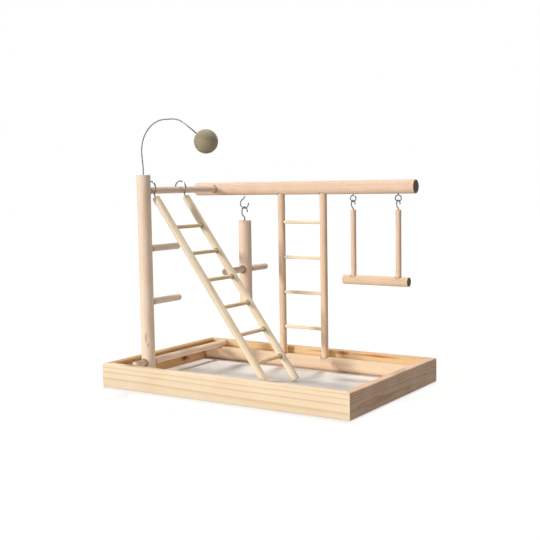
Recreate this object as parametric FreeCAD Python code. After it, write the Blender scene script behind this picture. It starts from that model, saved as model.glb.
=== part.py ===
import FreeCAD, Part
import math
import os
from FreeCAD import Placement, Rotation, Vector

# Play stand for a small parrot: a shallow tray of four pine rails, and a frame of round dowels
# that stands in it.  Millimetres.  +X to the right, +Y to the back, +Z up.
# The origin is the centre of the tray's underside.

# ---- Tray
tray_length = 400.0
tray_width = 262.0
tray_height = 34.0
rail_thickness = 12.0
rail_arris = 1.2            # rounding along the rails' top and outer edges
corner_round = 1.5          # and down the tray's corners
panel_thickness = 5.0
panel_hold = 6.0            # how far the panel's edge reaches under each rail
panel_play = 0.3            # gap round the panel in its rebate

# ---- Dowel stock, as radii
thick_radius = 10.0         # post, perch, base dowel and the toy's log
thin_radius = 5.0           # links, pegs and the toy's cross dowel
ladder_rail_radius = 5.5
rung_radius = 2.8
swing_rail_radius = 4.1
swing_bar_radius = 7.0
end_round = 1.2             # rounding at the free ends of thick dowels
small_end_round = 0.8       # the same on thin ones

# ---- Holes that the dowels are plugged into
mouth_play = 0.6            # each hole's mouth is drilled this much wider than its dowel
mouth_depth = 0.8           # and this deep, below the surface at the mouth's edge
thick_socket = 11.0         # depth of a socket in a thick dowel
rail_socket = 6.0           # in a ladder rail
bar_socket = 8.0            # in the swing's bar
drill_start = 5.0           # drills start at least this far outside the wood

# ---- Frame
base_gap = 3.0              # base dowel to the back rail
base_end_play = 0.5         # base dowel to each side rail
perch_height = 279.0        # perch's axis
perch_left_overhang = 39.5  # beyond the upper link's axis
perch_right_overhang = 27.3 # beyond the swing's right eye
post_from_left = 24.0       # post's axis from the left rail's inner face
post_from_front = 47.0      # and from the front rail's
post_above_link = 22.5      # post's top above the upper link's axis
link_stub = 20.6            # lower link's end in front of the post
link_saddle = 0.5           # depth that the lower link is let down onto the base dowel
link_end_gap = 2.0          # lower link's end to the back rail
peg_upper_height = 195.0
peg_lower_height = 117.0
peg_reach = 65.0            # from the post's surface

# ---- Upright ladder
ladder_centre = -6.2        # right of the tray's middle
ladder_spacing = 73.6       # between the rails' axes
first_rung_height = 67.0
rung_pitch = 53.5
rung_top_space = 20.0       # at least this much free under the perch

# ---- Slanting ladder, hooked over the upper link
slant_spacing = 70.0
slant_angle = 53.8          # from the floor
slant_first_rung = 53.1     # from the rails' tops
slant_rung_pitch = 46.0
slant_foot_space = 25.0     # at least this much rail below the last rung
slant_post_gap = 3.0        # front hook to the post
slant_floor_gap = 0.2       # feet to the panel

# ---- Screw hooks: radius of the wire, of the bowl and of the bend below it, at the wire's middle,
# and the straight stem out of the wood
slant_hook_wire = 1.1
slant_hook_bowl = 10.0
slant_hook_bend = 4.0
slant_hook_stem = 3.8
toy_hook_wire = 1.0
toy_hook_bowl = 7.5
toy_hook_bend = 3.0
toy_hook_stem = 3.2
swing_hook_wire = 0.9
swing_hook_bowl = 5.5
swing_hook_bend = 2.0
swing_hook_stem = 0.8
hook_screw_length = 11.0    # in the wood
hook_sweep = 262.0          # angle of the bowl
hook_play = 0.2             # between a hook and what it hangs on
slant_hook_play = 0.3       # the same between the slanting ladder's hooks and the link

# ---- Screw eyes over the swing
eye_wire = 0.9
eye_radius = 4.5
eye_neck = 1.0

# ---- Swing
swing_centre = 116.8        # right of the tray's middle
swing_spacing = 72.0        # between the rails' axes
swing_bar_overhang = 16.3   # beyond the rails' axes
swing_drop = 114.1          # pivot to the bar's axis

# ---- Hanging toy
toy_from_link = 52.5        # right of the upper link's axis
log_length = 129.0
cross_dowel_down = 76.8     # below the log's top
cross_dowel_length = 114.5

# ---- Ball on its wire: the wire's runs, and the radius and angle of each bend
wire_radius = 0.9
wire_link_wall = 3.0        # wood left between the wire's hole and the upper link
wire_play = 0.05            # round the wire in the post
wire_foot_run = 4.0
wire_sway_radius = 120.0    # first bend, to the left
wire_sway_angle = 6.0
wire_rise_run = 11.8
wire_crown_radius = 43.8    # big bend over the top
wire_crown_angle = 96.0
wire_top_run = 11.8
wire_dip_radius = 42.4
wire_dip_angle = 35.8
wire_last_run = 43.3        # to the ball's centre
ball_radius = 16.6
ball_socket = 15.0

X, Y, Z = Vector(1, 0, 0), Vector(0, 1, 0), Vector(0, 0, 1)

# ---- Places that follow from the sizes
inner_left = rail_thickness - tray_length / 2
inner_front = rail_thickness - tray_width / 2
inner_back = -inner_front
post_x = inner_left + post_from_left
post_y = inner_front + post_from_front
frame_y = inner_back - base_gap - thick_radius       # base dowel, upright ladder and perch
base_z = panel_thickness + thick_radius
lower_link_z = base_z + thick_radius + thin_radius - link_saddle
post_top = perch_height + post_above_link
wire_socket = post_above_link - thin_radius - wire_link_wall
perch_underside = perch_height - thick_radius
perch_left = post_x - perch_left_overhang
perch_right = swing_centre + swing_spacing / 2 + perch_right_overhang
slant_hook = (slant_hook_wire, slant_hook_bowl, slant_hook_bend, slant_hook_stem)
toy_hook = (toy_hook_wire, toy_hook_bowl, toy_hook_bend, toy_hook_stem)
swing_hook = (swing_hook_wire, swing_hook_bowl, swing_hook_bend, swing_hook_stem)


def dowel(start, direction, length, radius, start_round=0.0, end_round=0.0):
    """A dowel as a turned profile, with its ends' rims rounded."""
    r, a, b = radius, start_round, end_round
    points = [Vector(0, 0, 0), Vector(r - a, 0, 0)]
    edges = [Part.makeLine(points[0], points[1])]
    if a > 0:
        edges.append(rim(Vector(r - a, 0, a), X, a, -90))
    edges.append(Part.makeLine(Vector(r, 0, a), Vector(r, 0, length - b)))
    if b > 0:
        edges.append(rim(Vector(r - b, 0, length - b), X, b, 0))
    edges.append(Part.makeLine(Vector(r - b, 0, length), Vector(0, 0, length)))
    edges.append(Part.makeLine(Vector(0, 0, length), Vector(0, 0, 0)))
    solid = Part.Face(Part.Wire(edges)).revolve(Vector(0, 0, 0), Z, 360)
    solid.Placement = Placement(start, Rotation(Z, direction))
    return solid


def rim(centre, across, radius, first):
    """A quarter circle in the plane of across and Z.  It starts at the angle first, from across."""
    def at(angle):
        t = math.radians(angle)
        return centre + across * (radius * math.cos(t)) + Z * (radius * math.sin(t))
    return Part.Arc(at(first), at(first + 45), at(first + 90)).toShape()


def socket(centre, out, host_radius, radius, depth):
    """The drill for a blind hole in a round host: centre is on the host's axis, out is the way
    that the dowel leaves.  The mouth is wider, so that a fine dark ring shows round the dowel."""
    wide = radius + mouth_play
    edge = math.sqrt(max(host_radius ** 2 - wide ** 2, 0.0))     # where the mouth meets the surface
    bottom = host_radius - depth
    tight = Part.makeCylinder(radius, depth + drill_start, centre + out * bottom, out)
    mouth = Part.makeCylinder(wide, host_radius - edge + mouth_depth + drill_start,
                              centre + out * (edge - mouth_depth), out)
    return tight.fuse(mouth)


def rungs_between(start, step, count, across, spacing):
    """Rungs from one rail's axis to the other's, with the rails' sockets for them."""
    made, drills = [], ([], [])
    bottom = ladder_rail_radius - rail_socket
    for i in range(count):
        at = start + step * i
        made.append(dowel(at + across * bottom, across, spacing - 2 * bottom, rung_radius))
        drills[0].append(socket(at, across, ladder_rail_radius, rung_radius, rail_socket))
        drills[1].append(socket(at + across * spacing, -across, ladder_rail_radius, rung_radius,
                                rail_socket))
    return made, drills


def bent_wire(start, heading, normal, moves, radius):
    """Round wire: each move is a run (length,) or a bend (radius, angle), where a bend turns
    about normal.  Gives the wire, its end and its heading there."""
    at, pieces = start, []
    for move in moves:
        section = Part.Face(Part.Wire(Part.Circle(at, heading, radius).toShape()))
        if len(move) == 1:
            pieces.append(section.extrude(heading * move[0]))
            at = at + heading * move[0]
        else:
            bend_radius, angle = move
            axis = normal if angle > 0 else -normal
            centre = at + axis.cross(heading) * bend_radius
            pieces.append(section.revolve(centre, axis, abs(angle)))
            turn = Rotation(axis, abs(angle))
            at = centre + turn.multVec(at - centre)
            heading = turn.multVec(heading)
    return pieces[0].multiFuse(pieces[1:]).removeSplitter(), at, heading


def hook_height(sizes):
    """From the wood to the bowl's centre."""
    _, bowl, bend, stem = sizes
    return stem + math.sqrt(bowl ** 2 + 2 * bowl * bend)


def hook(sizes, root, out, side):
    """A screw hook: a stem out of the wood at root, a small bend towards side, and an open bowl
    whose centre is in line with the stem."""
    wire, bowl, bend, stem = sizes
    turn = math.degrees(math.acos(bend / (bowl + bend)))
    moves = [(hook_screw_length + stem,), (bend, turn), (bowl, -hook_sweep)]
    return bent_wire(root - out * hook_screw_length, out, out.cross(side), moves, wire)[0]


def screw_hole(wire, root, out):
    return Part.makeCylinder(wire, hook_screw_length, root - out * hook_screw_length, out)


def tray_rail(length, from_middle, turn):
    """A rail with rounded arrises, a rebate for the panel and mitred ends, made along the front
    and turned about the tray's middle.  The tray's outline then rounds its outer corners."""
    t, h, a = rail_thickness, tray_height, rail_arris
    step = t - panel_hold

    def p(y, z):
        return Vector(-length / 2, y, z)

    edges = [rim(p(a, a), Y, a, 180), Part.makeLine(p(a, 0), p(step, 0)),
             Part.makeLine(p(step, 0), p(step, panel_thickness)),
             Part.makeLine(p(step, panel_thickness), p(t, panel_thickness)),
             Part.makeLine(p(t, panel_thickness), p(t, h - a)), rim(p(t - a, h - a), Y, a, 0),
             Part.makeLine(p(t - a, h), p(a, h)), rim(p(a, h - a), Y, a, 90),
             Part.makeLine(p(0, h - a), p(0, a))]
    bar = Part.Face(Part.Wire(edges)).extrude(X * length)
    plan = [Vector(-length / 2, 0, 0), Vector(length / 2, 0, 0),
            Vector(length / 2 - t, t, 0), Vector(t - length / 2, t, 0), Vector(-length / 2, 0, 0)]
    mitre = Part.Face(Part.makePolygon(plan)).extrude(Z * h)
    rail = bar.common(mitre)
    rail.translate(Vector(0, -from_middle, 0))
    rail.rotate(Vector(0, 0, 0), Z, turn)
    return rail.common(tray_outline)


def cut(solid, drills):
    return solid.cut(drills) if drills else solid


nodes = {}

# ---- Tray
tray_outline = Part.makeBox(tray_length, tray_width, tray_height,
                            Vector(-tray_length / 2, -tray_width / 2, 0))
corner_edges = [e for e in tray_outline.Edges if abs(e.tangentAt(0).z) > 0.5]
tray_outline = tray_outline.makeFillet(corner_round, corner_edges)
nodes["tray_rail_front"] = tray_rail(tray_length, tray_width / 2, 0)
nodes["tray_rail_back"] = tray_rail(tray_length, tray_width / 2, 180)
nodes["tray_rail_left"] = tray_rail(tray_width, tray_length / 2, -90)
nodes["tray_rail_right"] = tray_rail(tray_width, tray_length / 2, 90)
panel_x = tray_length - 2 * (rail_thickness - panel_hold + panel_play)
panel_y = tray_width - 2 * (rail_thickness - panel_hold + panel_play)
nodes["tray_panel"] = Part.makeBox(panel_x, panel_y, panel_thickness,
                                   Vector(-panel_x / 2, -panel_y / 2, 0))

# ---- Post, links and pegs
link_start = post_y + thick_radius - thick_socket            # bottom of the socket in the post
post_drills = [Part.makeCylinder(wire_radius + wire_play, wire_socket,
                                 Vector(post_x, post_y, post_top - wire_socket))]
upper_on_post = Vector(post_x, post_y, perch_height)
lower_on_post = Vector(post_x, post_y, lower_link_z)
post_drills.append(socket(upper_on_post, Y, thick_radius, thin_radius, thick_socket))
for way in (Y, -Y):
    post_drills.append(socket(lower_on_post, way, thick_radius, thin_radius, thick_radius))

for name, height in (("peg_upper", peg_upper_height), ("peg_lower", peg_lower_height)):
    on_post = Vector(post_x, post_y, height)
    post_drills.append(socket(on_post, Y, thick_radius, thin_radius, thick_socket))
    nodes[name] = dowel(Vector(post_x, link_start, height), Y, thick_socket + peg_reach,
                        thin_radius, 0, small_end_round)

nodes["post"] = cut(dowel(Vector(post_x, post_y, panel_thickness), Z, post_top - panel_thickness,
                          thick_radius, 0, end_round), post_drills)

link_end = frame_y - thick_radius + thick_socket             # bottom of the perch's socket
nodes["upper_link"] = dowel(Vector(post_x, link_start, perch_height), Y, link_end - link_start,
                            thin_radius)
stub_front = post_y - thick_radius - link_stub
lower_link = dowel(Vector(post_x, stub_front, lower_link_z), Y,
                   inner_back - link_end_gap - stub_front, thin_radius,
                   small_end_round, small_end_round)

# ---- Base dowel, upright ladder and perch
base_length = 2 * (-inner_left - base_end_play)
base_at = Vector(-base_length / 2, frame_y, base_z)
base = dowel(base_at, X, base_length, thick_radius, end_round, end_round)
nodes["lower_link"] = lower_link.cut(base)                   # saddle that sits on the base dowel

base_drills, perch_drills = [], []
rail_bottom = base_z + thick_radius - thick_socket
rail_top = perch_underside + thick_socket
ladder_left = ladder_centre - ladder_spacing / 2
first_rung = Vector(ladder_left, frame_y, first_rung_height)
rung_room = perch_underside - rung_top_space - first_rung_height
rung_count = int(rung_room / rung_pitch) + 1
rungs, rung_drills = rungs_between(first_rung, Z * rung_pitch, rung_count, X, ladder_spacing)
for name, x, drills in (("ladder_rail_left", ladder_left, rung_drills[0]),
                        ("ladder_rail_right", ladder_left + ladder_spacing, rung_drills[1])):
    nodes[name] = cut(dowel(Vector(x, frame_y, rail_bottom), Z, rail_top - rail_bottom,
                            ladder_rail_radius), drills)
    base_drills.append(socket(Vector(x, frame_y, base_z), Z, thick_radius, ladder_rail_radius,
                              thick_socket))
    perch_drills.append(socket(Vector(x, frame_y, perch_height), -Z, thick_radius,
                               ladder_rail_radius, thick_socket))
for i, rung in enumerate(rungs):
    nodes["ladder_rung_%d" % (i + 1)] = rung
nodes["base_dowel"] = cut(base, base_drills)
perch_drills.append(socket(Vector(post_x, frame_y, perch_height), -Y, thick_radius, thin_radius,
                           thick_socket))

# ---- Toy: a log on a hook that hangs in a hook under the perch
toy_x = post_x + toy_from_link
toy_root = Vector(toy_x, frame_y, perch_underside)
toy_pivot_z = perch_underside - hook_height(toy_hook) - toy_hook_bowl
nodes["toy_hook_upper"] = hook(toy_hook, toy_root, -Z, -X)
perch_drills.append(screw_hole(toy_hook_wire, toy_root, -Z))
log_top = (toy_pivot_z + 2 * toy_hook_wire + hook_play - toy_hook_bowl
           - hook_height(toy_hook))
log_root = Vector(toy_x, frame_y, log_top)
nodes["toy_hook_lower"] = hook(toy_hook, log_root, Z, -Y)
cross_at = Vector(toy_x, frame_y, log_top - cross_dowel_down)
nodes["toy_cross_dowel"] = dowel(cross_at - Y * (cross_dowel_length / 2), Y, cross_dowel_length,
                                 thin_radius, small_end_round, small_end_round)
log_drills = [socket(cross_at, way, thick_radius, thin_radius, thick_radius) for way in (Y, -Y)]
log_drills.append(screw_hole(toy_hook_wire, log_root, Z))
nodes["toy_log"] = cut(dowel(log_root - Z * log_length, Z, log_length, thick_radius, end_round,
                             end_round), log_drills)

# ---- Swing: two rails and a bar on hooks that hang in screw eyes
eye_z = perch_underside - eye_neck - eye_wire - eye_radius
swing_pivot_z = eye_z - eye_radius
swing_rail_top = (swing_pivot_z + eye_wire + hook_play + swing_hook_wire - swing_hook_bowl
                  - hook_height(swing_hook))
bar_z = swing_pivot_z - swing_drop
bar_drills = []
for side, sign in (("left", -1), ("right", 1)):
    x = swing_centre + sign * swing_spacing / 2
    eye_top = Vector(x, frame_y, perch_underside)
    ring = Part.makeTorus(eye_radius, eye_wire, Vector(x, frame_y, eye_z), Y)
    neck = Part.makeCylinder(eye_wire, hook_screw_length + eye_neck + eye_wire,
                             eye_top + Z * hook_screw_length, -Z)
    nodes["swing_eye_" + side] = ring.fuse(neck)
    perch_drills.append(screw_hole(eye_wire, eye_top, -Z))
    top = Vector(x, frame_y, swing_rail_top)
    nodes["swing_hook_" + side] = hook(swing_hook, top, Z, -Y)
    rail_foot = bar_z + swing_bar_radius - bar_socket
    nodes["swing_rail_" + side] = cut(
        dowel(Vector(x, frame_y, rail_foot), Z, swing_rail_top - rail_foot, swing_rail_radius, 0,
              end_round), [screw_hole(swing_hook_wire, top, Z)])
    bar_drills.append(socket(Vector(x, frame_y, bar_z), Z, swing_bar_radius, swing_rail_radius,
                             bar_socket))
bar_length = swing_spacing + 2 * swing_bar_overhang
nodes["swing_bar"] = cut(dowel(Vector(swing_centre - bar_length / 2, frame_y, bar_z), X,
                               bar_length, swing_bar_radius, small_end_round, small_end_round),
                         bar_drills)
nodes["perch"] = cut(dowel(Vector(perch_left, frame_y, perch_height), X, perch_right - perch_left,
                           thick_radius, end_round, end_round), perch_drills)

# ---- Slanting ladder: its feet stand on the panel, and the link lies low in its hooks' bowls
lean = math.radians(slant_angle)
up_slope = Vector(-math.cos(lean), 0, math.sin(lean))
over = Vector(math.sin(lean), 0, math.cos(lean))             # square to the slope, upwards
link_to_bowl = slant_hook_bowl - slant_hook_wire - thin_radius - slant_hook_play
slant_front_y = post_y + thick_radius + slant_post_gap + slant_hook_wire
slant_top = (Vector(post_x, slant_front_y, perch_height + link_to_bowl)
             - up_slope * hook_height(slant_hook))
foot_drop = slant_top.z - panel_thickness - slant_floor_gap - ladder_rail_radius * math.cos(lean)
slant_length = foot_drop / math.sin(lean)
slant_rung_count = int((slant_length - slant_first_rung - slant_foot_space) / slant_rung_pitch) + 1
rungs, rung_drills = rungs_between(slant_top - up_slope * slant_first_rung,
                                   up_slope * -slant_rung_pitch, slant_rung_count, Y,
                                   slant_spacing)
for side, y, drills in (("front", 0, rung_drills[0]), ("back", slant_spacing, rung_drills[1])):
    top = slant_top + Y * y
    nodes["slant_hook_" + side] = hook(slant_hook, top, up_slope, over)
    nodes["slant_rail_" + side] = cut(
        dowel(top - up_slope * slant_length, up_slope, slant_length, ladder_rail_radius, 0,
              end_round), drills + [screw_hole(slant_hook_wire, top, up_slope)])
for i, rung in enumerate(rungs):
    nodes["slant_rung_%d" % (i + 1)] = rung

# ---- Ball on its wire, which turns in the post
wire_bottom = Vector(post_x, post_y, post_top - wire_socket + hook_play)
moves = [(wire_socket - hook_play + wire_foot_run,), (wire_sway_radius, wire_sway_angle),
         (wire_rise_run,), (wire_crown_radius, -wire_crown_angle), (wire_top_run,),
         (wire_dip_radius, -wire_dip_angle), (wire_last_run - ball_radius + ball_socket,)]
nodes["ball_wire"], wire_end, heading = bent_wire(wire_bottom, Z, -Y, moves, wire_radius)
ball_centre = wire_end + heading * (ball_radius - ball_socket)
ball = Part.makeSphere(ball_radius, ball_centre)
nodes["ball"] = ball.cut(Part.makeCylinder(wire_radius, ball_radius, wire_end, -heading))

os.makedirs("parts", exist_ok=True)
for name, shape in nodes.items():
    if len(shape.Solids) != 1 or not shape.isValid():
        raise ValueError(name + " is not one closed solid")
    shape.Solids[0].exportStep("parts/%s.step" % name)
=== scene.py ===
import math

import bmesh
import bpy
from mathutils import Matrix, Quaternion, Vector


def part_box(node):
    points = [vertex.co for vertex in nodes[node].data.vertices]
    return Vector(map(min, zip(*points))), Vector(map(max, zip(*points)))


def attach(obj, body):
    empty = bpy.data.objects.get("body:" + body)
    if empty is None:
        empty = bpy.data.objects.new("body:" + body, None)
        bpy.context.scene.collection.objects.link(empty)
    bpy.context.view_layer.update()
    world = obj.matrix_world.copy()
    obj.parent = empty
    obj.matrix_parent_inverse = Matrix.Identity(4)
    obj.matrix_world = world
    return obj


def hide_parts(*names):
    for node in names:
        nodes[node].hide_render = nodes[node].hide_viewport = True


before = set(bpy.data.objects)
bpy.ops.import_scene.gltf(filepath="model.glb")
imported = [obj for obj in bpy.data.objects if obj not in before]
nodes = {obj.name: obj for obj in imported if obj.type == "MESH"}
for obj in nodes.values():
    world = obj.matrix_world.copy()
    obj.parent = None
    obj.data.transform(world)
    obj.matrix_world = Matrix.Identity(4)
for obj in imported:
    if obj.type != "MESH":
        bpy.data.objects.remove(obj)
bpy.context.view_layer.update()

# Looks of a small wooden play stand: bare beech and pine, a white-faced board, and hooks, eyes and
# a springy wire of zinc-plated steel.  Metres, in the frame of the solids: +X to the right, +Y to
# the back, +Z up.  Sizes that are written in millimetres are multiplied by MM.

MM = 0.001
X, Y, Z = Vector((1, 0, 0)), Vector((0, 1, 0)), Vector((0, 0, 1))

# ---- Sizes of the pieces that are made here, in millimetres
tray_length = (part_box("tray_rail_right")[1].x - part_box("tray_rail_left")[0].x) / MM
tray_width = (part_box("tray_rail_back")[1].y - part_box("tray_rail_front")[0].y) / MM
tray_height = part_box("tray_rail_front")[1].z / MM
panel_low, panel_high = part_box("tray_panel")
panel_thickness = (panel_high.z - panel_low.z) / MM
panel_hold = 6.0            # how far the panel's edge reaches under each rail
rail_thickness = 12.0
rail_arris = 1.6            # rounding along the rails' long edges
corner_round = 2.4          # and down the tray's corners
mitre_gap = 0.12            # left open at each rail's mitre, so that the joint shows as a fine line

head_radius = 3.5           # of the countersunk screws below
head_sunk = 0.15            # from the panel's face up to the head's
cone_depth, cone_narrows = 1.6, 0.5     # under the head, to this share of its radius
recess_half, recess_reach = 0.45, 1.75  # the cross in the head: half width and length of its arms
recess_depth, recess_narrows = 1.1, 0.7
cross_turn = 0.7            # radians from one screw's cross to the next one's
screw_sides = 48
outer_screws = 140.0        # from the middle screw of the base dowel to the other two
mouth_radius = 1.06 * head_radius       # of the countersinks in the panel
sink_depth, sink_narrows = 1.9, 0.45
pilot_depth = 1.5

screw_length = 11.0         # of a hook or eye, in the wood
# Radii of the wire, of the bowl and of the small bend under it, and length of the stem
slant_hook = dict(wire=1.1, bowl=10.0, bend=4.0, stem=3.8)
toy_hook = dict(wire=1.0, bowl=7.5, bend=3.0, stem=3.2)
swing_hook = dict(wire=0.9, bowl=5.5, bend=2.0, stem=0.8)
eye = dict(wire=0.9, bowl=4.5, bend=1.0, stem=0.99)
hook_sweep = 262.0          # angle of a hook's bowl
eye_sweep = 338.0           # an eye is nearly closed

wire_radius = 0.9
wire_socket = 14.3          # wire inside the post
# From the post's top to the wire's end in the ball: runs (length,) and bends (radius, angle)
wire_moves = [(4.0,), (120.0, 6.0), (11.8,), (43.8, -96.0), (11.8,), (42.4, -35.8), (41.7,)]
wire_sides = 20
bend_step, least_steps = 5, 6           # degrees from ring to ring in a bend; steps in a small one
# Rings of a wire's tip: radius and place from its end, in shares of the wire's radius
wire_tip = ((0.9, -0.55), (0.62, -0.2), (0.3, -0.04))
ball_radius = 16.6
ball_sides, ball_bands = 64, 40
ball_flat = 0.12            # height of the cap that is cut off where the wire goes in
ball_hole = ((1.25, 0.8), (0.95, 1.1), (0.95, 9.0))     # radius and depth of each step

slant_angle = 53.8          # of the slanting ladder, from the floor

crease = 35                 # degrees: an edge that turns more is left sharp
weld = 0.001                # points nearer than this are one
near = 0.01                 # and two numbers nearer than this are the same


# ---- Small tools

def linear(code):
    """The linear colour of an sRGB hex code, as a shader wants it."""
    parts = [int(code[i:i + 2], 16) / 255 for i in (1, 3, 5)]
    return tuple(c / 12.92 if c <= 0.04045 else ((c + 0.055) / 1.055) ** 2.4 for c in parts) + (1,)


def add(tree, kind, sockets=None, stops=None, **settings):
    """Adds a node with its settings.  sockets gives each input a value or the output to link to it,
    and stops gives a colour ramp its (place, colour) pairs."""
    made = tree.nodes.new("ShaderNode" + kind)
    for name, value in settings.items():
        setattr(made, name, value)
    for key, value in (sockets or {}).items():
        if isinstance(value, bpy.types.NodeSocket):
            tree.links.new(value, made.inputs[key])
        else:
            made.inputs[key].default_value = value
    if stops:
        elements = made.color_ramp.elements
        for _ in stops[2:]:
            elements.new(0.5)
        for element, (place, colour) in zip(elements, stops):
            element.position, element.color = place, colour
    return made


def material(name):
    """An empty material and its node tree."""
    made = bpy.data.materials.new(name)
    made.use_nodes = True
    made.node_tree.nodes.clear()
    return made, made.node_tree


def verts_in(geometry):
    """The vertices among what an operator gives."""
    return [v for v in geometry if isinstance(v, bmesh.types.BMVert)]


def edges_in(geometry):
    """And the edges."""
    return [e for e in geometry if isinstance(e, bmesh.types.BMEdge)]


def slice_at(bm, place, normal, **settings):
    """Cuts the whole mesh along a plane."""
    bmesh.ops.bisect_plane(bm, geom=bm.verts[:] + bm.edges[:] + bm.faces[:], plane_co=place,
                           plane_no=normal, **settings)


def next_ring(bm, ring):
    """Extrudes a ring of edges on the spot, and gives the new vertices and the new ring."""
    made = bmesh.ops.extrude_edge_only(bm, edges=ring)["geom"]
    verts = verts_in(made)
    return verts, [e for e in edges_in(made) if all(v in verts for v in e.verts)]


def turned_to(way):
    """The turn that brings Z to a way."""
    return way.to_track_quat("Z", "Y").to_matrix().to_4x4()


def piece(bm, name, body, finish, stands_for=None, sharp=False):
    """Makes the bmesh an object of that body, in place of the CAD node that it stands for."""
    bmesh.ops.remove_doubles(bm, verts=bm.verts, dist=weld * MM)
    bmesh.ops.recalc_face_normals(bm, faces=bm.faces)
    mesh = bpy.data.meshes.new(name)
    bm.to_mesh(mesh)
    bm.free()
    for polygon in mesh.polygons:
        polygon.use_smooth = True
    if sharp:
        mesh.set_sharp_from_angle(angle=math.radians(crease))
    mesh.materials.append(finish)
    made = bpy.data.objects.new(name, mesh)
    bpy.context.scene.collection.objects.link(made)
    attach(made, body)
    if stands_for:
        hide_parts(stands_for)


# ---- Materials

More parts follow.
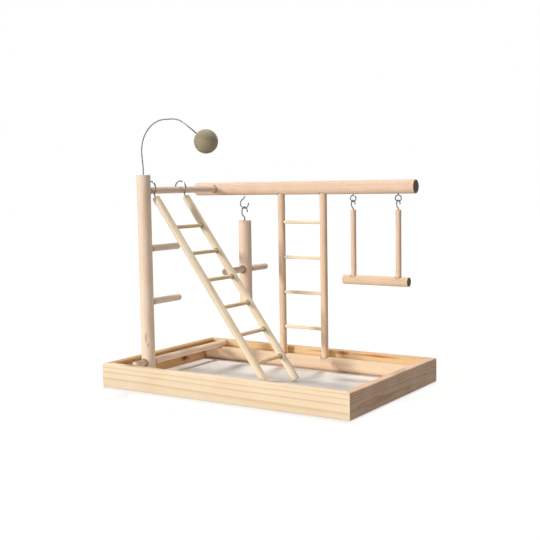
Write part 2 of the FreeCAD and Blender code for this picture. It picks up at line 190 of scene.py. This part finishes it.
def wood(name, centre, along, light, dark, ring, pith, lean=(0.2, 0.1), sway=2.5, fleck=0.0,
         depth=0.5, cloud=0.5, end=0.12, marks=()):
    """Bare sanded wood, cut from a solid log: growth rings round a pith line that lies beside the
    piece, so that they show as long lines on its sides and as arcs on its ends, with fine fibres
    along the grain.  centre and pith (mm, across the grain) place the log, ring is the width of a
    year's growth in mm, lean tips the pith in degrees, sway is how far the rings wander in mm,
    fleck the share of ray flecks, depth and cloud the share of the rings and of the patches in the
    colour, end the darkening of end grain, and marks are (place, half sizes, colour, strength,
    raggedness) of knots, resin and streaks, the darker feet of dowels, the painted shade and some
    dirt round sockets and screw holes, and a painted highlight and a painted shadow on the tray's
    rails, in mm."""
    made, tree = material(name)
    coordinates = add(tree, "TexCoord")
    turn = along.to_track_quat("Z", "Y")
    tip = Quaternion(X, math.radians(lean[0])) @ Quaternion(Y, math.radians(lean[1]))
    heart = centre + turn @ Vector((pith[0] * MM, pith[1] * MM, 0))
    log = add(tree, "Mapping", {"Vector": coordinates.outputs["Object"], "Location": heart,
                                "Rotation": (turn @ tip).to_euler()}, vector_type="TEXTURE")
    # Slow waves in the log's growth, about 25 mm across and 170 mm along
    slow = add(tree, "VectorMath", {0: log.outputs[0], 1: (40, 40, 6)}, operation="MULTIPLY")
    waves = add(tree, "TexNoise", {"Vector": slow.outputs[0], "Scale": 1.0, "Detail": 2.0})
    apart = add(tree, "VectorMath", {0: waves.outputs["Color"], 1: (0.5, 0.5, 0.5)},
                operation="SUBTRACT")
    bent = add(tree, "VectorMath", {0: apart.outputs[0], 1: (2 * sway * MM, 2 * sway * MM, 0),
                                    2: log.outputs[0]}, operation="MULTIPLY_ADD")
    # A wave texture's rings lie 2 pi / (20 * scale) apart.  Each year starts pale, darkens near its
    # end and breaks off at once
    rings = add(tree, "TexWave", {"Vector": bent.outputs[0], "Scale": math.pi / 10 / (ring * MM),
                                  "Distortion": 0.0}, wave_type="RINGS", rings_direction="Z",
                wave_profile="SAW")
    year = add(tree, "ValToRGB", {"Fac": rings.outputs["Fac"]},
               stops=[(0.0, (0, 0, 0, 1)), (0.58, (0.08, 0.08, 0.08, 1)), (0.87, (1, 1, 1, 1)),
                      (0.97, (0.12, 0.12, 0.12, 1))])
    # Fibres about 0.5 mm across and 30 mm long
    fine = add(tree, "VectorMath", {0: log.outputs[0], 1: (2000, 2000, 34)}, operation="MULTIPLY")
    fibres = add(tree, "TexNoise", {"Vector": fine.outputs[0], "Scale": 1.0, "Detail": 3.0,
                                    "Roughness": 0.6})
    # Broad cloudy patches, some 45 mm wide, where the wood took up more or less moisture and dirt
    patches = add(tree, "TexNoise", {"Vector": coordinates.outputs["Object"], "Scale": 22.0,
                                     "Detail": 3.0})
    # Rings, fibres and patches together give the share of the dark colour
    mixed = add(tree, "Math", {0: year.outputs[0], 1: depth, 2: 0.0}, operation="MULTIPLY_ADD")
    fibrous = add(tree, "Math", {0: fibres.outputs[0], 1: 0.42, 2: mixed.outputs[0]},
                  operation="MULTIPLY_ADD")
    cloudy = add(tree, "Math", {0: patches.outputs[0], 1: cloud, 2: fibrous.outputs[0]},
                 operation="MULTIPLY_ADD")
    share = add(tree, "MapRange", {"Value": cloudy.outputs[0], 1: 0.07 + cloud / 2,
                                   2: 0.75 + cloud / 2})
    colour = add(tree, "Mix", {0: share.outputs[0], 6: linear(light), 7: linear(dark)},
                 data_type="RGBA").outputs[2]
    if fleck:
        # Ray flecks of beech: brown dashes some 0.4 mm wide and 2.5 mm long
        short = add(tree, "VectorMath", {0: log.outputs[0], 1: (1500, 1500, 260)},
                    operation="MULTIPLY")
        rays = add(tree, "TexNoise", {"Vector": short.outputs[0], "Scale": 1.0, "Detail": 0.0})
        dashes = add(tree, "MapRange", {"Value": rays.outputs[0], 1: 0.62, 2: 0.72, 4: fleck})
        colour = add(tree, "Mix", {0: dashes.outputs[0], 6: colour, 7: linear("#A9764F")},
                     data_type="RGBA").outputs[2]
    # End grain is darker, because it drinks in dirt and shows the ends of the pores
    facing = add(tree, "VectorMath", {0: coordinates.outputs["Normal"], 1: along},
                 operation="DOT_PRODUCT")
    both = add(tree, "Math", {0: facing.outputs["Value"]}, operation="ABSOLUTE")
    across = add(tree, "MapRange", {"Value": both.outputs[0], 1: 0.8, 2: 0.97, 4: end})
    colour = add(tree, "Mix", {0: across.outputs[0], 6: colour, 7: linear("#4E3324")},
                 data_type="RGBA").outputs[2]
    # A mark is a spot round its place, whose edge is torn by noise of about half its size
    for place, half, tone, strength, ragged in marks:
        spot = add(tree, "Mapping", {"Vector": coordinates.outputs["Object"],
                                     "Location": [c * MM for c in place],
                                     "Scale": [c * MM for c in half]}, vector_type="TEXTURE")
        torn = add(tree, "TexNoise", {"Vector": spot.outputs[0], "Scale": 2.2, "Detail": 3.0})
        distance = add(tree, "VectorMath", {0: spot.outputs[0]}, operation="LENGTH")
        rough_edge = add(tree, "Math", {0: torn.outputs[0], 1: ragged,
                                        2: distance.outputs["Value"]}, operation="MULTIPLY_ADD")
        reach = add(tree, "MapRange", {"Value": rough_edge.outputs[0], 1: 1 - ragged / 3,
                                       2: 1.25 + ragged / 6, 3: strength, 4: 0.0})
        colour = add(tree, "Mix", {0: reach.outputs[0], 6: colour, 7: linear(tone)},
                     data_type="RGBA").outputs[2]
    dull = add(tree, "MapRange", {"Value": fibres.outputs[0], 3: 0.5, 4: 0.72})
    height = add(tree, "Math", {0: year.outputs[0], 1: 0.35, 2: fibres.outputs[0]},
                 operation="MULTIPLY_ADD")
    bump = add(tree, "Bump", {"Height": height.outputs[0], "Strength": 0.35,
                              "Distance": 0.15 * MM})
    shader = add(tree, "BsdfPrincipled", {"Base Color": colour, "Roughness": dull.outputs[0],
                                          "IOR": 1.5, "Normal": bump.outputs[0],
                                          "Specular IOR Level": 0.35})
    add(tree, "OutputMaterial", {"Surface": shader.outputs[0]})
    return made


def plated_steel(name, light, dark, smooth, rough):
    """Zinc plate on steel wire: a cool grey metal whose colour goes in soft clouds from pale to much
    darker than zinc, a painted dark reflection, with duller plating in the dark clouds, so that a bend
    in it flashes from white to nearly black.  smooth and rough are the limits of its roughness."""
    made, tree = material(name)
    coordinates = add(tree, "TexCoord")
    # Clouds of some 2 mm
    clouds = add(tree, "TexNoise", {"Vector": coordinates.outputs["Object"], "Scale": 500.0,
                                    "Detail": 3.0})
    spread = add(tree, "MapRange", {"Value": clouds.outputs[0], 1: 0.35, 2: 0.65})
    colour = add(tree, "Mix", {0: spread.outputs[0], 6: linear(light), 7: linear(dark)},
                 data_type="RGBA")
    dull = add(tree, "MapRange", {"Value": clouds.outputs[0], 1: 0.35, 2: 0.65, 3: smooth, 4: rough})
    bump = add(tree, "Bump", {"Height": clouds.outputs[0], "Strength": 0.15,
                              "Distance": 0.05 * MM})
    shader = add(tree, "BsdfPrincipled", {"Base Color": colour.outputs[2], "Metallic": 1.0,
                                          "Roughness": dull.outputs[0],
                                          "Normal": bump.outputs[0]})
    add(tree, "OutputMaterial", {"Surface": shader.outputs[0]})
    return made


def white_faced_board(name):
    """White paper face on a thin board: nearly neutral, satin, with the board's faint long ripples
    showing through and a little dust and rubbing."""
    made, tree = material(name)
    coordinates = add(tree, "TexCoord")
    # Ripples about 110 mm long and 17 mm wide, and specks of 0.7 mm
    along = add(tree, "VectorMath", {0: coordinates.outputs["Object"], 1: (9, 60, 60)},
                operation="MULTIPLY")
    ripples = add(tree, "TexNoise", {"Vector": along.outputs[0], "Scale": 1.0, "Detail": 4.0})
    specks = add(tree, "TexNoise", {"Vector": coordinates.outputs["Object"], "Scale": 1400.0,
                                    "Detail": 1.0})
    tone = add(tree, "Math", {0: specks.outputs[0], 1: 0.3, 2: ripples.outputs[0]},
               operation="MULTIPLY_ADD")
    share = add(tree, "MapRange", {"Value": tone.outputs[0], 1: 0.45, 2: 0.95})
    colour = add(tree, "Mix", {0: share.outputs[0], 6: linear("#FBF9F8"), 7: linear("#E1DDDA")},
                 data_type="RGBA")
    dull = add(tree, "MapRange", {"Value": ripples.outputs[0], 3: 0.38, 4: 0.55})
    bump = add(tree, "Bump", {"Height": tone.outputs[0], "Strength": 0.2, "Distance": 0.1 * MM})
    shader = add(tree, "BsdfPrincipled", {"Base Color": colour.outputs[2],
                                          "Roughness": dull.outputs[0], "IOR": 1.5,
                                          "Normal": bump.outputs[0]})
    add(tree, "OutputMaterial", {"Surface": shader.outputs[0]})
    return made


# Beech of the dowels: pink-brown with short flecks; fresher pieces, a lighter copy for the pegs that
# is painted light, and yellower dry ones
beech = dict(light="#F5DCC6", dark="#DDB699", ring=2.2, fleck=0.18, depth=0.3)
fresh_beech = dict(light="#FFEBD9", dark="#EFCDB0", ring=2.4, fleck=0.14, depth=0.3)
beech_with_painted_light = dict(fresh_beech, light="#FFF3E8", dark="#F5D8C0")
dry_beech = dict(fresh_beech, light="#ECD3B9", dark="#D8B490")
# Pine of the ladders: cream, with one or two soft lines, and browner in the upright one's rails;
# the slanting one's rungs are of a browner hardwood
ladder_pine = dict(light="#F9EDD6", dark="#E2C8A6", ring=2.8, depth=0.4)
brown_pine = dict(ladder_pine, light="#EFD8BE", dark="#DEBA98")
rung_wood = dict(light="#F5DDB6", dark="#CFAE82", ring=1.6, fleck=0.15, depth=0.35)
# Pine of the tray: cream with a few fine lines, and golden, resinous planks at the back and left
rail_pine = dict(light="#FFEED4", dark="#E6C294")
old_pine = dict(light="#E6C99C", dark="#CDA26C")
# The ball's hardwood took up a grey stain unevenly, in broad soft clouds
stained_wood = dict(light="#B5AC92", dark="#6E664F", ring=5, pith=(3, 44), lean=(2, 1), sway=5,
                    fleck=0.25, depth=0.12, cloud=1.1, end=0.0)

# The darker colour of each steel is painted dark reflection
hook_steel = plated_steel("zinc_plated_steel", "#B2B3B8", "#3A3B3F", 0.1, 0.22)
# The springy wire is drawn, and only dull
wire_steel = plated_steel("drawn_spring_wire", "#84858A", "#5E5F63", 0.36, 0.46)

# ---- Places that are read from the solids
lean = math.radians(slant_angle)
up_slope = Vector((-math.cos(lean), 0, math.sin(lean)))
over_slope = Vector((math.sin(lean), 0, math.cos(lean)))


def middle(node):
    """Middle of a node's box."""
    low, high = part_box(node)
    return (low + high) / 2


def top_of(node):
    """Middle of an upright node's top end."""
    place = middle(node)
    place.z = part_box(node)[1].z
    return place


def under_perch(node):
    """Where the eye or hook above a hanging node is screwed in."""
    place = middle(node)
    place.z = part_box("perch")[0].z
    return place


def slant_top(side):
    """Middle of a slanting rail's upper end.  The rail's box is its axis's, wider by its radius."""
    low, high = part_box("slant_rail_" + side)
    radius = (high.y - low.y) / 2
    return Vector((low.x + radius * math.sin(lean), (low.y + high.y) / 2,
                   high.z - radius * math.cos(lean)))


# ---- Marks round the joints, in millimetres
# The joints' dark colour is painted shade in the gap round a dowel in its socket or round a screw in
# its hole, with a little dirt in the sockets
painted_gap_shade_and_dirt = "#4C3122"      # the dark edge of a socket or of a screw's hole
ring_reach = 0.7            # how far the ring round a socket shows beyond the dowel in it
foot_reach, foot_drop = 1.8, 2.0        # how far the darker foot of a dowel reaches past that, and how far it is moved down
hole_reach = 1.8            # half the width of the dark round a screw's hole


def sockets(node, *others):
    """The dark rings round the sockets that other dowels leave a node by: painted shade of the gap
    between dowel and socket, with a little dirt.
    """
    low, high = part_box(node)
    rings = []
    for other in others:
        start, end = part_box(other)
        size = end - start
        axis = max(range(3), key=lambda i: size[i])
        for face in (low[axis], high[axis]):
            if start[axis] < face < end[axis]:
                place = (start + end) / 2
                place[axis] = face
                ring = min(size) / 2 / MM + ring_reach
                rings.append((place / MM, [ring] * 3, painted_gap_shade_and_dirt, 0.85, 0))
    return rings


def root(node, other):
    """The darker foot of a dowel where it enters a node: ragged spots that reach lower down than up."""
    return [(place - Z * foot_drop, [c + foot_reach for c in half], "#74452C", 0.85, 0.9)
            for place, half, _, _, _ in sockets(node, other)]


def screw_hole(place):
    """The dark edge of the hole that a hook or eye is screwed into: painted shade of the gap round its
    wire.
    """
    return place / MM, [hole_reach] * 3, painted_gap_shade_and_dirt, 0.9, 0.4


# ---- Dowels: the solids' own shapes, each with its own grain

def dress(node, species, kind, along, number, **changes):
    """Gives a CAD node its own wood, cut from its own place in a log: number picks the place, by
    turns and distances that do not repeat."""
    angle = number * 2.4
    away = 14 + 9 * (number % 3)
    cut = dict(kind, pith=(away * math.cos(angle), away * math.sin(angle)),
               lean=(1.6 * math.sin(angle * 1.7), 1.3 * math.cos(angle)))
    finish = wood("%s_of_%s" % (species, node), middle(node), along, **dict(cut, **changes))
    nodes[node].data.materials.clear()
    nodes[node].data.materials.append(finish)


upright_rails = ("ladder_rail_left", "ladder_rail_right")
swing_rails = ("swing_rail_left", "swing_rail_right")
ladder_rungs = sorted(n for n in nodes if n.startswith("ladder_rung"))
slant_rungs = sorted(n for n in nodes if n.startswith("slant_rung"))

dress("post", "beech", fresh_beech, Z, 1, light="#FFEEDD", dark="#F5D2B7",
      marks=[((-160, -82, 66), (1.6, 4, 11), "#A06C4E", 0.75, 0.9),
             ((-157.5, -80, 56), (1.2, 4, 4), "#8A5A40", 0.6, 0.9)]
      + sockets("post", "peg_upper", "peg_lower", "upper_link", "lower_link"))
dress("perch", "beech", beech, X, 2, end=0.95,
      marks=sockets("perch", "upper_link", *upright_rails)
      + [screw_hole(under_perch(n)) for n in ("toy_log",) + swing_rails])
# The pegs take the lighter copy of the beech: painted light
for number, node in enumerate(("upper_link", "lower_link", "peg_upper", "peg_lower")):
    dress(node, "beech", beech_with_painted_light if node.startswith("peg") else fresh_beech, Y, 3 + number,
          marks=root("post", node))
dress("base_dowel", "beech", dry_beech, X, 7, marks=sockets("base_dowel", *upright_rails))
dress("toy_log", "beech", fresh_beech, Z, 8, end=0.0,
      marks=sockets("toy_log", "toy_cross_dowel") + [screw_hole(top_of("toy_log"))])
dress("toy_cross_dowel", "beech", fresh_beech, Y, 9, marks=root("toy_log", "toy_cross_dowel"))
dress("swing_bar", "beech", dry_beech, X, 10, end=0.9, marks=sockets("swing_bar", *swing_rails))
for number, node in enumerate(swing_rails):
    dress(node, "beech", beech, Z, 11 + number, marks=[screw_hole(top_of(node))])
for number, node in enumerate(upright_rails):
    dress(node, "pine", brown_pine, Z, 13 + number, marks=sockets(node, *ladder_rungs))
for number, side in enumerate(("front", "back")):
    dress("slant_rail_" + side, "pine", ladder_pine, up_slope, 15 + number,
          marks=sockets("slant_rail_" + side, *slant_rungs) + [screw_hole(slant_top(side))])
for number, node in enumerate(ladder_rungs):
    dress(node, "pine", ladder_pine, X, 17 + number)
for number, node in enumerate(slant_rungs):
    dress(node, "hardwood", rung_wood, Y, 21 + number)


# ---- Tray: four rails of pine with eased edges, and the board they hold

def tray_rail(length, from_middle, turn):
    """One rail, made along the front and turned about the tray's middle."""
    t, h, step = rail_thickness, tray_height, rail_thickness - panel_hold
    bm = bmesh.new()
    outline = [(0, 0), (step, 0), (step, panel_thickness), (t, panel_thickness), (t, h), (0, h)]
    face = bm.faces.new([bm.verts.new((-length / 2, y, z)) for y, z in outline])
    swept = bmesh.ops.extrude_face_region(bm, geom=[face])["geom"]
    bmesh.ops.translate(bm, verts=verts_in(swept), vec=(length, 0, 0))
    for side in (-1, 1):
        # The mitre's plane runs at 45 degrees in from the corner
        slice_at(bm, (side * (length / 2 - mitre_gap), 0, 0), (side, 1, 0), clear_outer=True)
    bmesh.ops.holes_fill(bm, edges=[e for e in bm.edges if e.is_boundary])

    # The long edges on top and the outer one below, and then the upright ones at the outer face
    long_edges = []
    for edge in bm.edges:
        a, b = (v.co for v in edge.verts)
        lengthwise = abs(a.y - b.y) < near and abs(a.z - b.z) < near
        if lengthwise and (a.z > h - near or (a.y < near and a.z < near)):
            long_edges.append(edge)
    bmesh.ops.bevel(bm, geom=long_edges, affect="EDGES", offset=rail_arris, offset_type="OFFSET",
                    segments=5, profile=0.5, material=-1)
    tips = []
    for edge in bm.edges:
        a, b = (v.co for v in edge.verts)
        if a.y < near and b.y < near and abs(a.z - b.z) > h / 2:
            tips.append(edge)
    bmesh.ops.bevel(bm, geom=tips, affect="EDGES", offset=corner_round / 2, offset_type="OFFSET",
                    segments=4, profile=0.5, material=-1)

    bmesh.ops.translate(bm, verts=bm.verts, vec=(0, -from_middle, 0))
    bmesh.ops.rotate(bm, verts=bm.verts, cent=(0, 0, 0),
                     matrix=Matrix.Rotation(math.radians(turn), 3, "Z"))
    bmesh.ops.scale(bm, verts=bm.verts, vec=(MM, MM, MM))
    return bm


# Length, distance of its outer face from the middle, turn, grain and cut of each rail.  The front
# one is cut so that three lines of rings run along its face.
rails = {
    "front": (tray_length, tray_width / 2, 0, X, dict(
        rail_pine, ring=2.355, pith=(70, -20), sway=0.5, depth=0.42, cloud=0.3,
        # The pale stripe down the front right corner is a painted highlight on its rounded edge
        marks=[((200, -131, 17), (2.2, 2.2, 40), "#FFF6E4", 0.8, 0.9)])),
    "back": (tray_length, tray_width / 2, 180, X, dict(
        old_pine, ring=3.4, pith=(70, -10), sway=0.8, depth=0.4,
        marks=[((111, 119, 30.5), (50, 3, 2.8), "#B8703C", 1.0, 0.9),
               # The red-brown patch beside the upright ladder's right rail is partly a painted shadow
               # of that rail and partly a red-brown streak in the wood
               ((54, 119, 30.5), (16, 3, 3.6), "#9A522A", 0.85, 0.9),
               ((14, 119, 30), (26, 3, 1.8), "#B07A48", 0.8, 0.9)])),
    "left": (tray_width, tray_length / 2, -90, Y, dict(
        old_pine, ring=3.2, pith=(-52, -8), sway=1.2, depth=0.5, light="#DDB584", dark="#B0824E",
        marks=[((-188, 44, 14), (3, 15, 6), "#8A5028", 0.9, 0.9),
               ((-188, 42, 15), (3, 6, 7), "#5E3018", 0.85, 0.9)])),
    "right": (tray_width, tray_length / 2, 90, Y, dict(
        rail_pine, ring=1.8, pith=(28, -8), sway=2.4, depth=0.42, cloud=0.8,
        light="#F9D7B8", dark="#CD9F79",
        marks=[((200, 88, 19), (3, 4, 3), "#9A7250", 0.5, 0.9)])),
}
for side, (length, away, turn, along, cut) in rails.items():
    node = "tray_rail_" + side
    piece(tray_rail(length, away, turn), "pine_rail_" + side, "stand",
          wood("pine_of_rail_" + side, middle(node), along, **cut), node, sharp=True)


def drilled_panel(places):
    """The solid's own block, drilled and countersunk from below at some places."""
    bm = bmesh.new()
    bmesh.ops.create_cube(bm, size=1, matrix=Matrix.Translation((panel_low + panel_high) / 2)
                          @ Matrix.Diagonal((*(panel_high - panel_low), 1)))
    bm.normal_update()
    below = [f for f in bm.faces if f.normal.z < -0.9]
    rims = list(below[0].edges)
    bmesh.ops.delete(bm, geom=below, context="FACES_ONLY")
    for place in places:
        bmesh.ops.create_circle(bm, segments=screw_sides, radius=mouth_radius * MM,
                                matrix=Matrix.Translation(place))
    mouths = [e for e in bm.edges if e.is_wire and e not in rims]
    bmesh.ops.triangle_fill(bm, edges=rims + mouths, normal=(0, 0, -1), use_beauty=True)
    for place in places:
        ring = [e for e in mouths if (e.verts[0].co - place).length < 2 * mouth_radius * MM]
        for narrows, up in ((sink_narrows, sink_depth), (1.0, pilot_depth)):
            verts, ring = next_ring(bm, ring)
            bmesh.ops.scale(bm, verts=verts, vec=(narrows, narrows, 1),
                            space=Matrix.Translation(-place))
            bmesh.ops.translate(bm, verts=verts, vec=(0, 0, up * MM))
        bmesh.ops.contextual_create(bm, geom=ring)
    return bm


def countersunk_screw(place, turn):
    """A screw's head, a hair inside the panel's face, with a cross recess."""
    bm = bmesh.new()
    bmesh.ops.create_circle(bm, cap_ends=True, segments=screw_sides, radius=head_radius)
    for away in (-recess_reach, -recess_half, recess_half, recess_reach):
        for across in (X, Y):
            slice_at(bm, across * away, across)
    cross = []
    for face in bm.faces:
        beside, out = sorted(abs(c) for c in face.calc_center_median().xy)
        if beside < recess_half and out < recess_reach:
            cross.append(face)
    pressed = bmesh.ops.extrude_face_region(
        bm, geom=cross + list(dict.fromkeys(e for f in cross for e in f.edges)))["geom"]
    bmesh.ops.translate(bm, verts=verts_in(pressed), vec=(0, 0, recess_depth))
    bmesh.ops.scale(bm, verts=verts_in(pressed), vec=(recess_narrows, recess_narrows, 1))
    verts, ring = next_ring(bm, [e for e in bm.edges if e.is_boundary])
    bmesh.ops.translate(bm, verts=verts, vec=(0, 0, cone_depth))
    bmesh.ops.scale(bm, verts=verts, vec=(cone_narrows, cone_narrows, 1))
    bmesh.ops.contextual_create(bm, geom=ring)
    bmesh.ops.rotate(bm, verts=bm.verts, cent=(0, 0, 0), matrix=Matrix.Rotation(turn, 3, "Z"))
    bmesh.ops.scale(bm, verts=bm.verts, vec=(MM, MM, MM))
    bmesh.ops.translate(bm, verts=bm.verts, vec=place + Z * head_sunk * MM)
    return bm


# One screw holds the post, and three the base dowel
screws = [middle("post")]
screws += [middle("base_dowel") + X * x * MM for x in (-outer_screws, 0, outer_screws)]
for place in screws:
    place.z = panel_low.z
piece(drilled_panel(screws), "white_faced_panel", "stand",
      white_faced_board("white_faced_board"), "tray_panel", sharp=True)
for number, place in enumerate(screws):
    piece(countersunk_screw(place, cross_turn * number),
          "countersunk_screw_%d" % (number + 1), "stand", hook_steel, sharp=True)


# ---- Wire: hooks, eyes and the ball's springy wire

def bend_wire(start, heading, normal, moves, radius):
    """Round wire: each move is a run (length,) or a bend (radius, angle) about normal, in mm and
    degrees.  Its start is flat, and its end is a thin rim round a small dome."""
    bm = bmesh.new()
    at = start
    bmesh.ops.create_circle(bm, segments=wire_sides, radius=radius * MM,
                            matrix=Matrix.Translation(at) @ turned_to(heading))
    ring = bm.edges[:]
    bmesh.ops.contextual_create(bm, geom=ring)
    for move in moves:
        if len(move) == 1:
            run = heading * move[0] * MM
            swept = bmesh.ops.spin(bm, geom=ring, cent=at, axis=heading, angle=0, steps=1,
                                   dvec=run, use_merge=False)
            at = at + run
        else:
            bend, angle = move[0] * MM, math.radians(abs(move[1]))
            axis = normal if move[1] > 0 else -normal
            centre = at + axis.cross(heading) * bend
            swept = bmesh.ops.spin(bm, geom=ring, cent=centre, axis=axis, angle=angle,
                                   steps=max(least_steps, int(abs(move[1]) / bend_step)),
                                   use_merge=False)
            turned = Matrix.Rotation(angle, 3, axis)
            at = centre + turned @ (at - centre)
            heading = turned @ heading
        ring = edges_in(swept["geom_last"])
    for width, along in wire_tip:
        swept = bmesh.ops.spin(bm, geom=ring, cent=at, axis=heading, angle=0, steps=1,
                               dvec=(0, 0, 0), use_merge=False)
        ring = edges_in(swept["geom_last"])
        verts = list(dict.fromkeys(v for e in ring for v in e.verts))
        centre = sum((v.co for v in verts), Vector()) / len(verts)
        for v in verts:
            out = (v.co - centre).normalized()
            v.co = at + (out * width + heading * along) * radius * MM
    bmesh.ops.contextual_create(bm, geom=ring)
    return bm


def hook(name, body, sizes, foot, out, side, sweep=hook_sweep):
    """A screw hook or eye whose stem leaves the wood at its foot, in the way out: the stem, a small
    bend to the side, and the bowl back round it."""
    turn = math.degrees(math.acos(sizes["bend"] / (sizes["bowl"] + sizes["bend"])))
    moves = [(screw_length + sizes["stem"],), (sizes["bend"], turn), (sizes["bowl"], -sweep)]
    bm = bend_wire(foot - out * screw_length * MM, out, out.cross(side), moves, sizes["wire"])
    piece(bm, "bent_" + name, body, hook_steel, name)


for side in ("left", "right"):
    rail = "swing_rail_" + side
    hook("swing_hook_" + side, "swing", swing_hook, top_of(rail), Z, -Y)
    hook("swing_eye_" + side, "stand", eye, under_perch(rail), -Z, X, eye_sweep)
hook("toy_hook_lower", "hanging_toy", toy_hook, top_of("toy_log"), Z, -Y)
hook("toy_hook_upper", "stand", toy_hook, under_perch("toy_log"), -Z, -X)
for side in ("front", "back"):
    hook("slant_hook_" + side, "slanting_ladder", slant_hook, slant_top(side), up_slope, over_slope)

wire = bend_wire(top_of("post") - Z * wire_socket * MM, Z, -Y,
                 [(wire_socket + wire_moves[0][0],)] + wire_moves[1:], wire_radius)
piece(wire, "springy_wire", "ball_on_wire", wire_steel, "ball_wire")


# ---- The ball: turned, drilled for the wire and lightly countersunk

def drilled_ball(centre, inward):
    """A ball with a blind hole that goes inward."""
    bm = bmesh.new()
    bmesh.ops.create_uvsphere(bm, u_segments=ball_sides, v_segments=ball_bands,
                              radius=ball_radius * MM,
                              matrix=Matrix.Translation(centre) @ turned_to(-inward))
    slice_at(bm, centre - inward * (ball_radius - ball_flat) * MM, -inward, clear_outer=True)
    ring = [e for e in bm.edges if e.is_boundary]
    for radius, depth in ball_hole:
        verts, ring = next_ring(bm, ring)
        for v in verts:
            out = v.co - centre
            out = (out - inward * out.dot(inward)).normalized()
            v.co = centre + (out * radius - inward * (ball_radius - depth)) * MM
    bmesh.ops.contextual_create(bm, geom=ring)
    return bm


wire_turns = math.radians(-sum(move[1] for move in wire_moves if len(move) == 2))
into_ball = Vector((math.sin(wire_turns), 0, math.cos(wire_turns)))
ball_centre = middle("ball")
piece(drilled_ball(ball_centre, into_ball), "turned_ball", "ball_on_wire",
      wood("grey_stained_hardwood", ball_centre, X, **stained_wood), "ball")

# ---- Light, floor and camera
camera_place = Vector((0.72623, -1.10779, 0.28530))     # fitted to the photograph, as its turns are
camera_yaw, camera_pitch, camera_roll = 33.123, 5.227, -0.918
sensor_width, focal_length = 36.0, 62.554
floor_half = 6.0            # metres from its middle to a side
floor_drop = 0.3            # mm, so that the tray's underside and the floor never flicker


def looked_at(tree):
    """1 for the rays that show the backdrop to the camera, in a mirror or through glass."""
    seen = add(tree, "LightPath")
    either = add(tree, "Math", {0: seen.outputs["Is Camera Ray"], 1: seen.outputs["Is Glossy Ray"]},
                 operation="MAXIMUM")
    return add(tree, "Math", {0: either.outputs[0], 1: seen.outputs["Is Transmission Ray"]},
               operation="MAXIMUM").outputs[0]


def white_paper(name):
    """A paper sweep, matt and even: it glows to white where it is looked at, so that its edge is
    lost in the backdrop and only soft shadows show, and it sends a plain grey bounce to the object."""
    made, tree = material(name)
    bounce = add(tree, "BsdfDiffuse", {"Color": linear("#949494")})
    shade = add(tree, "BsdfDiffuse", {"Color": linear("#AFAFAF")})
    glow = add(tree, "Emission", {"Color": (1, 1, 1, 1), "Strength": 0.66})
    white = add(tree, "AddShader", {0: shade.outputs[0], 1: glow.outputs[0]})
    both = add(tree, "MixShader", {0: looked_at(tree), 1: bounce.outputs[0], 2: white.outputs[0]})
    add(tree, "OutputMaterial", {"Surface": both.outputs[0]})
    return made


def studio(name):
    """Pale light from all round, and a white backdrop.  The room behind the camera is dark, and
    bright metal mirrors it."""
    made = bpy.data.worlds.new(name)
    made.use_nodes = True
    tree = made.node_tree
    tree.nodes.clear()
    ambient = add(tree, "Background", {"Color": linear("#FFFBF6"), "Strength": 0.23})
    way = add(tree, "TexCoord").outputs["Generated"]
    behind = add(tree, "VectorMath", {0: way, 1: camera_place.normalized()},
                 operation="DOT_PRODUCT")
    room = add(tree, "MapRange", {"Value": behind.outputs["Value"], 1: 0.25, 2: 0.6, 3: 1.0,
                                  4: 0.06})
    direct = add(tree, "LightPath").outputs["Is Camera Ray"]
    level = add(tree, "Math", {0: room.outputs[0], 1: direct}, operation="MAXIMUM")
    backdrop = add(tree, "Background", {"Color": (1, 1, 1, 1), "Strength": level.outputs[0]})
    both = add(tree, "MixShader", {0: looked_at(tree), 1: ambient.outputs[0],
                                   2: backdrop.outputs[0]})
    add(tree, "OutputWorld", {"Surface": both.outputs[0]})
    return made


def sun(name, travel, share, spread, code):
    """A far lamp whose light travels that way.  At a share of 1 a white face square to it renders
    white, and spread in degrees softens its shadows."""
    lamp = bpy.data.lights.new(name, "SUN")
    lamp.energy, lamp.angle, lamp.color = share * math.pi, math.radians(spread), linear(code)[:3]
    made = bpy.data.objects.new(name, lamp)
    made.rotation_mode = "QUATERNION"
    made.rotation_quaternion = Vector(travel).to_track_quat("-Z", "Y")
    bpy.context.scene.collection.objects.link(made)


floor_mesh = bpy.data.meshes.new("floor")
bm = bmesh.new()
bmesh.ops.create_grid(bm, x_segments=1, y_segments=1, size=floor_half,
                      matrix=Matrix.Translation((0, 0, -floor_drop * MM)))
bm.to_mesh(floor_mesh)
bm.free()
floor_mesh.materials.append(white_paper("white_paper_sweep"))
floor = bpy.data.objects.new("floor", floor_mesh)
bpy.context.scene.collection.objects.link(floor)

bpy.context.scene.world = studio("studio")
sun("key_from_front_left", (0.39, 0.90, -0.19), 0.59, 7, "#FFFAF2")
sun("soft_from_front", (-0.05, 0.96, -0.27), 0.21, 40, "#FFFAF4")
sun("soft_from_above", (0.08, -0.33, -0.94), 0.6, 9, "#FFFCF8")

bearing, drop, roll = (math.radians(a) for a in (camera_yaw, camera_pitch, camera_roll))
back = Vector((math.sin(bearing) * math.cos(drop), -math.cos(bearing) * math.cos(drop),
               math.sin(drop)))
level = Vector((math.cos(bearing), math.sin(bearing), 0))
upright = level.cross(-back)
right = math.cos(roll) * level + math.sin(roll) * upright
up = math.cos(roll) * upright - math.sin(roll) * level
lens = bpy.data.cameras.new("camera")
lens.sensor_width, lens.lens = sensor_width, focal_length
camera = bpy.data.objects.new("camera", lens)
facing = Matrix((right, up, back)).transposed().to_4x4()
camera.matrix_world = Matrix.Translation(camera_place) @ facing
bpy.context.scene.collection.objects.link(camera)
bpy.context.scene.camera = camera

bpy.context.scene.view_settings.view_transform = "Standard"
